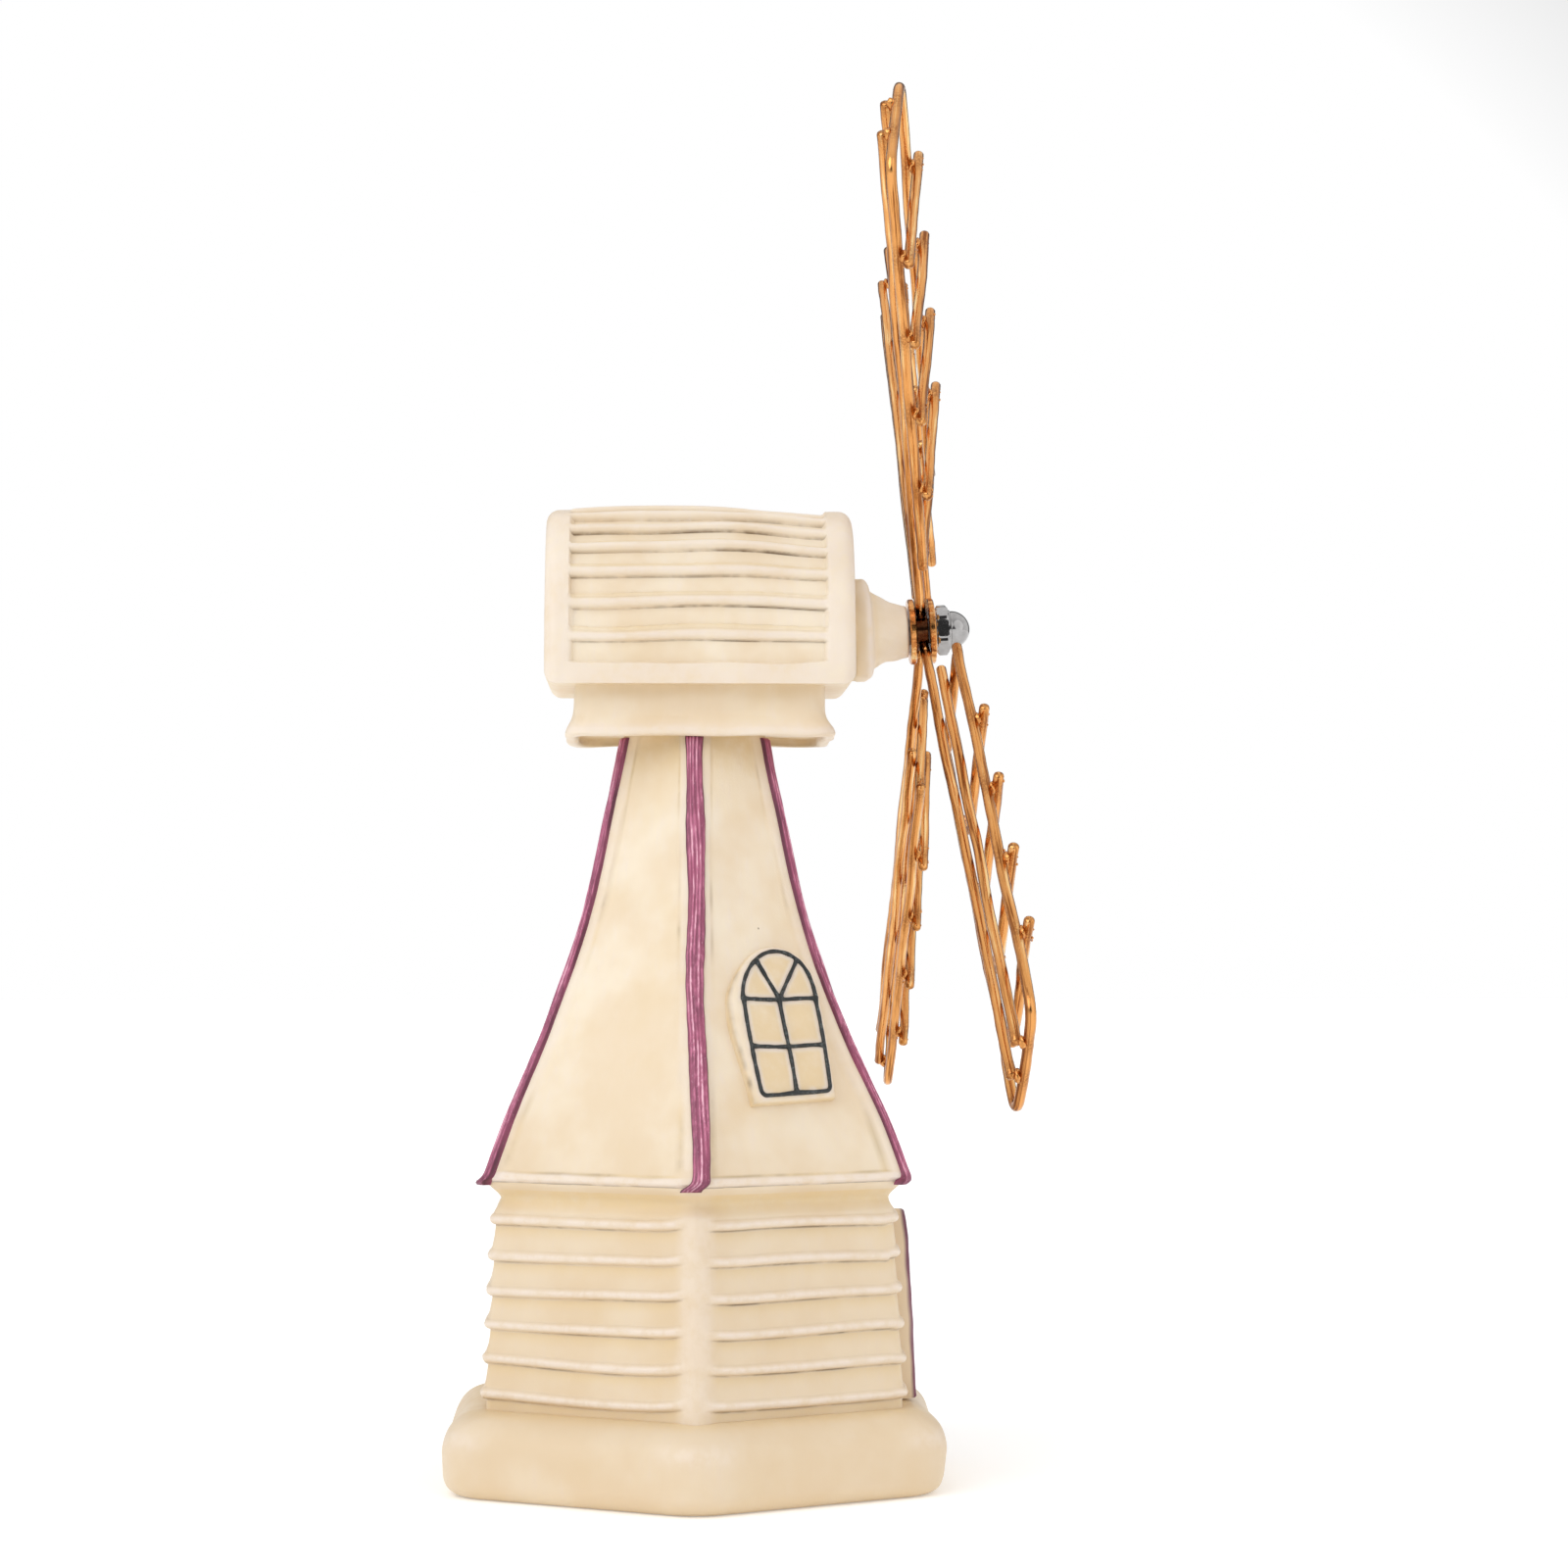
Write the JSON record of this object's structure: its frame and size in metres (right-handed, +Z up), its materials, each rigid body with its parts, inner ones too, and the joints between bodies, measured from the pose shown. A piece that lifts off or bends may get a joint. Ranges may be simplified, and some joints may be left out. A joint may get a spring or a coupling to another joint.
{
  "type": "windmill figurine",
  "caption": "Cream resin windmill figurine with a flared six-sided tower, clapboard storey, arched head and a free-turning rotor of copper wire lattice sails.",
  "frame": {"origin": "centre of the plinth's underside", "axes": "+Z up; the door, the nose and the sails face -Y; two corners of the six-sided plan lie on +X and -X"},
  "size_m": [0.1494, 0.0861, 0.2089],
  "materials": {
    "cream_resin": "satin, antiqued",
    "mauve_paint": "brushed paint, satin",
    "dark_line_paint": "satin",
    "copper_wire": "satin copper plate",
    "copper_disc": "polished copper plate",
    "chrome_nut": "polished",
    "zinc_steel": "zinc plated"
  },
  "bodies": {
    "mill": {"base_plinth": "cream_resin", "lower_storey": "cream_resin", "tower_body": "cream_resin", "corner_batten_1": "mauve_paint", "corner_batten_2": "mauve_paint", "corner_batten_3": "mauve_paint", "corner_batten_4": "mauve_paint", "corner_batten_5": "mauve_paint", "corner_batten_6": "mauve_paint", "window_panel_left": "cream_resin", "window_panel_right": "cream_resin", "window_bars_left": "dark_line_paint", "window_bars_right": "dark_line_paint", "door_surround": "mauve_paint", "door_leaf": "cream_resin", "head_base": "cream_resin", "head_roof": "cream_resin", "nose_cone": "cream_resin", "axle_stud": "zinc_steel", "anchor_nut": "zinc_steel", "dome_nut": "chrome_nut"},
    "rotor": {"hub_disc_rear": "copper_disc", "hub_disc_front": "copper_disc", "hub_bush": "copper_disc", "sail_1_stock": "copper_wire", "sail_1_frame": "copper_wire", "sail_1_middle_rail": "copper_wire", "sail_1_inner_bar": "copper_wire", "sail_1_bar_1": "copper_wire", "sail_1_bar_2": "copper_wire", "sail_1_bar_3": "copper_wire", "sail_1_bar_4": "copper_wire", "sail_2_stock": "copper_wire", "sail_2_frame": "copper_wire", "sail_2_middle_rail": "copper_wire", "sail_2_inner_bar": "copper_wire", "sail_2_bar_1": "copper_wire", "sail_2_bar_2": "copper_wire", "sail_2_bar_3": "copper_wire", "sail_2_bar_4": "copper_wire", "sail_3_stock": "copper_wire", "sail_3_frame": "copper_wire", "sail_3_middle_rail": "copper_wire", "sail_3_inner_bar": "copper_wire", "sail_3_bar_1": "copper_wire", "sail_3_bar_2": "copper_wire", "sail_3_bar_3": "copper_wire", "sail_3_bar_4": "copper_wire", "sail_4_stock": "copper_wire", "sail_4_frame": "copper_wire", "sail_4_middle_rail": "copper_wire", "sail_4_inner_bar": "copper_wire", "sail_4_bar_1": "copper_wire", "sail_4_bar_2": "copper_wire", "sail_4_bar_3": "copper_wire", "sail_4_bar_4": "copper_wire"}
  },
  "joints": [
    {"name": "rotor_spin", "type": "hinge", "parent": "mill", "child": "rotor", "pos_m": [0, -0.0364, 0.1345], "axis": [0, -0.9981, 0.0619], "continuous": true}
  ]
}
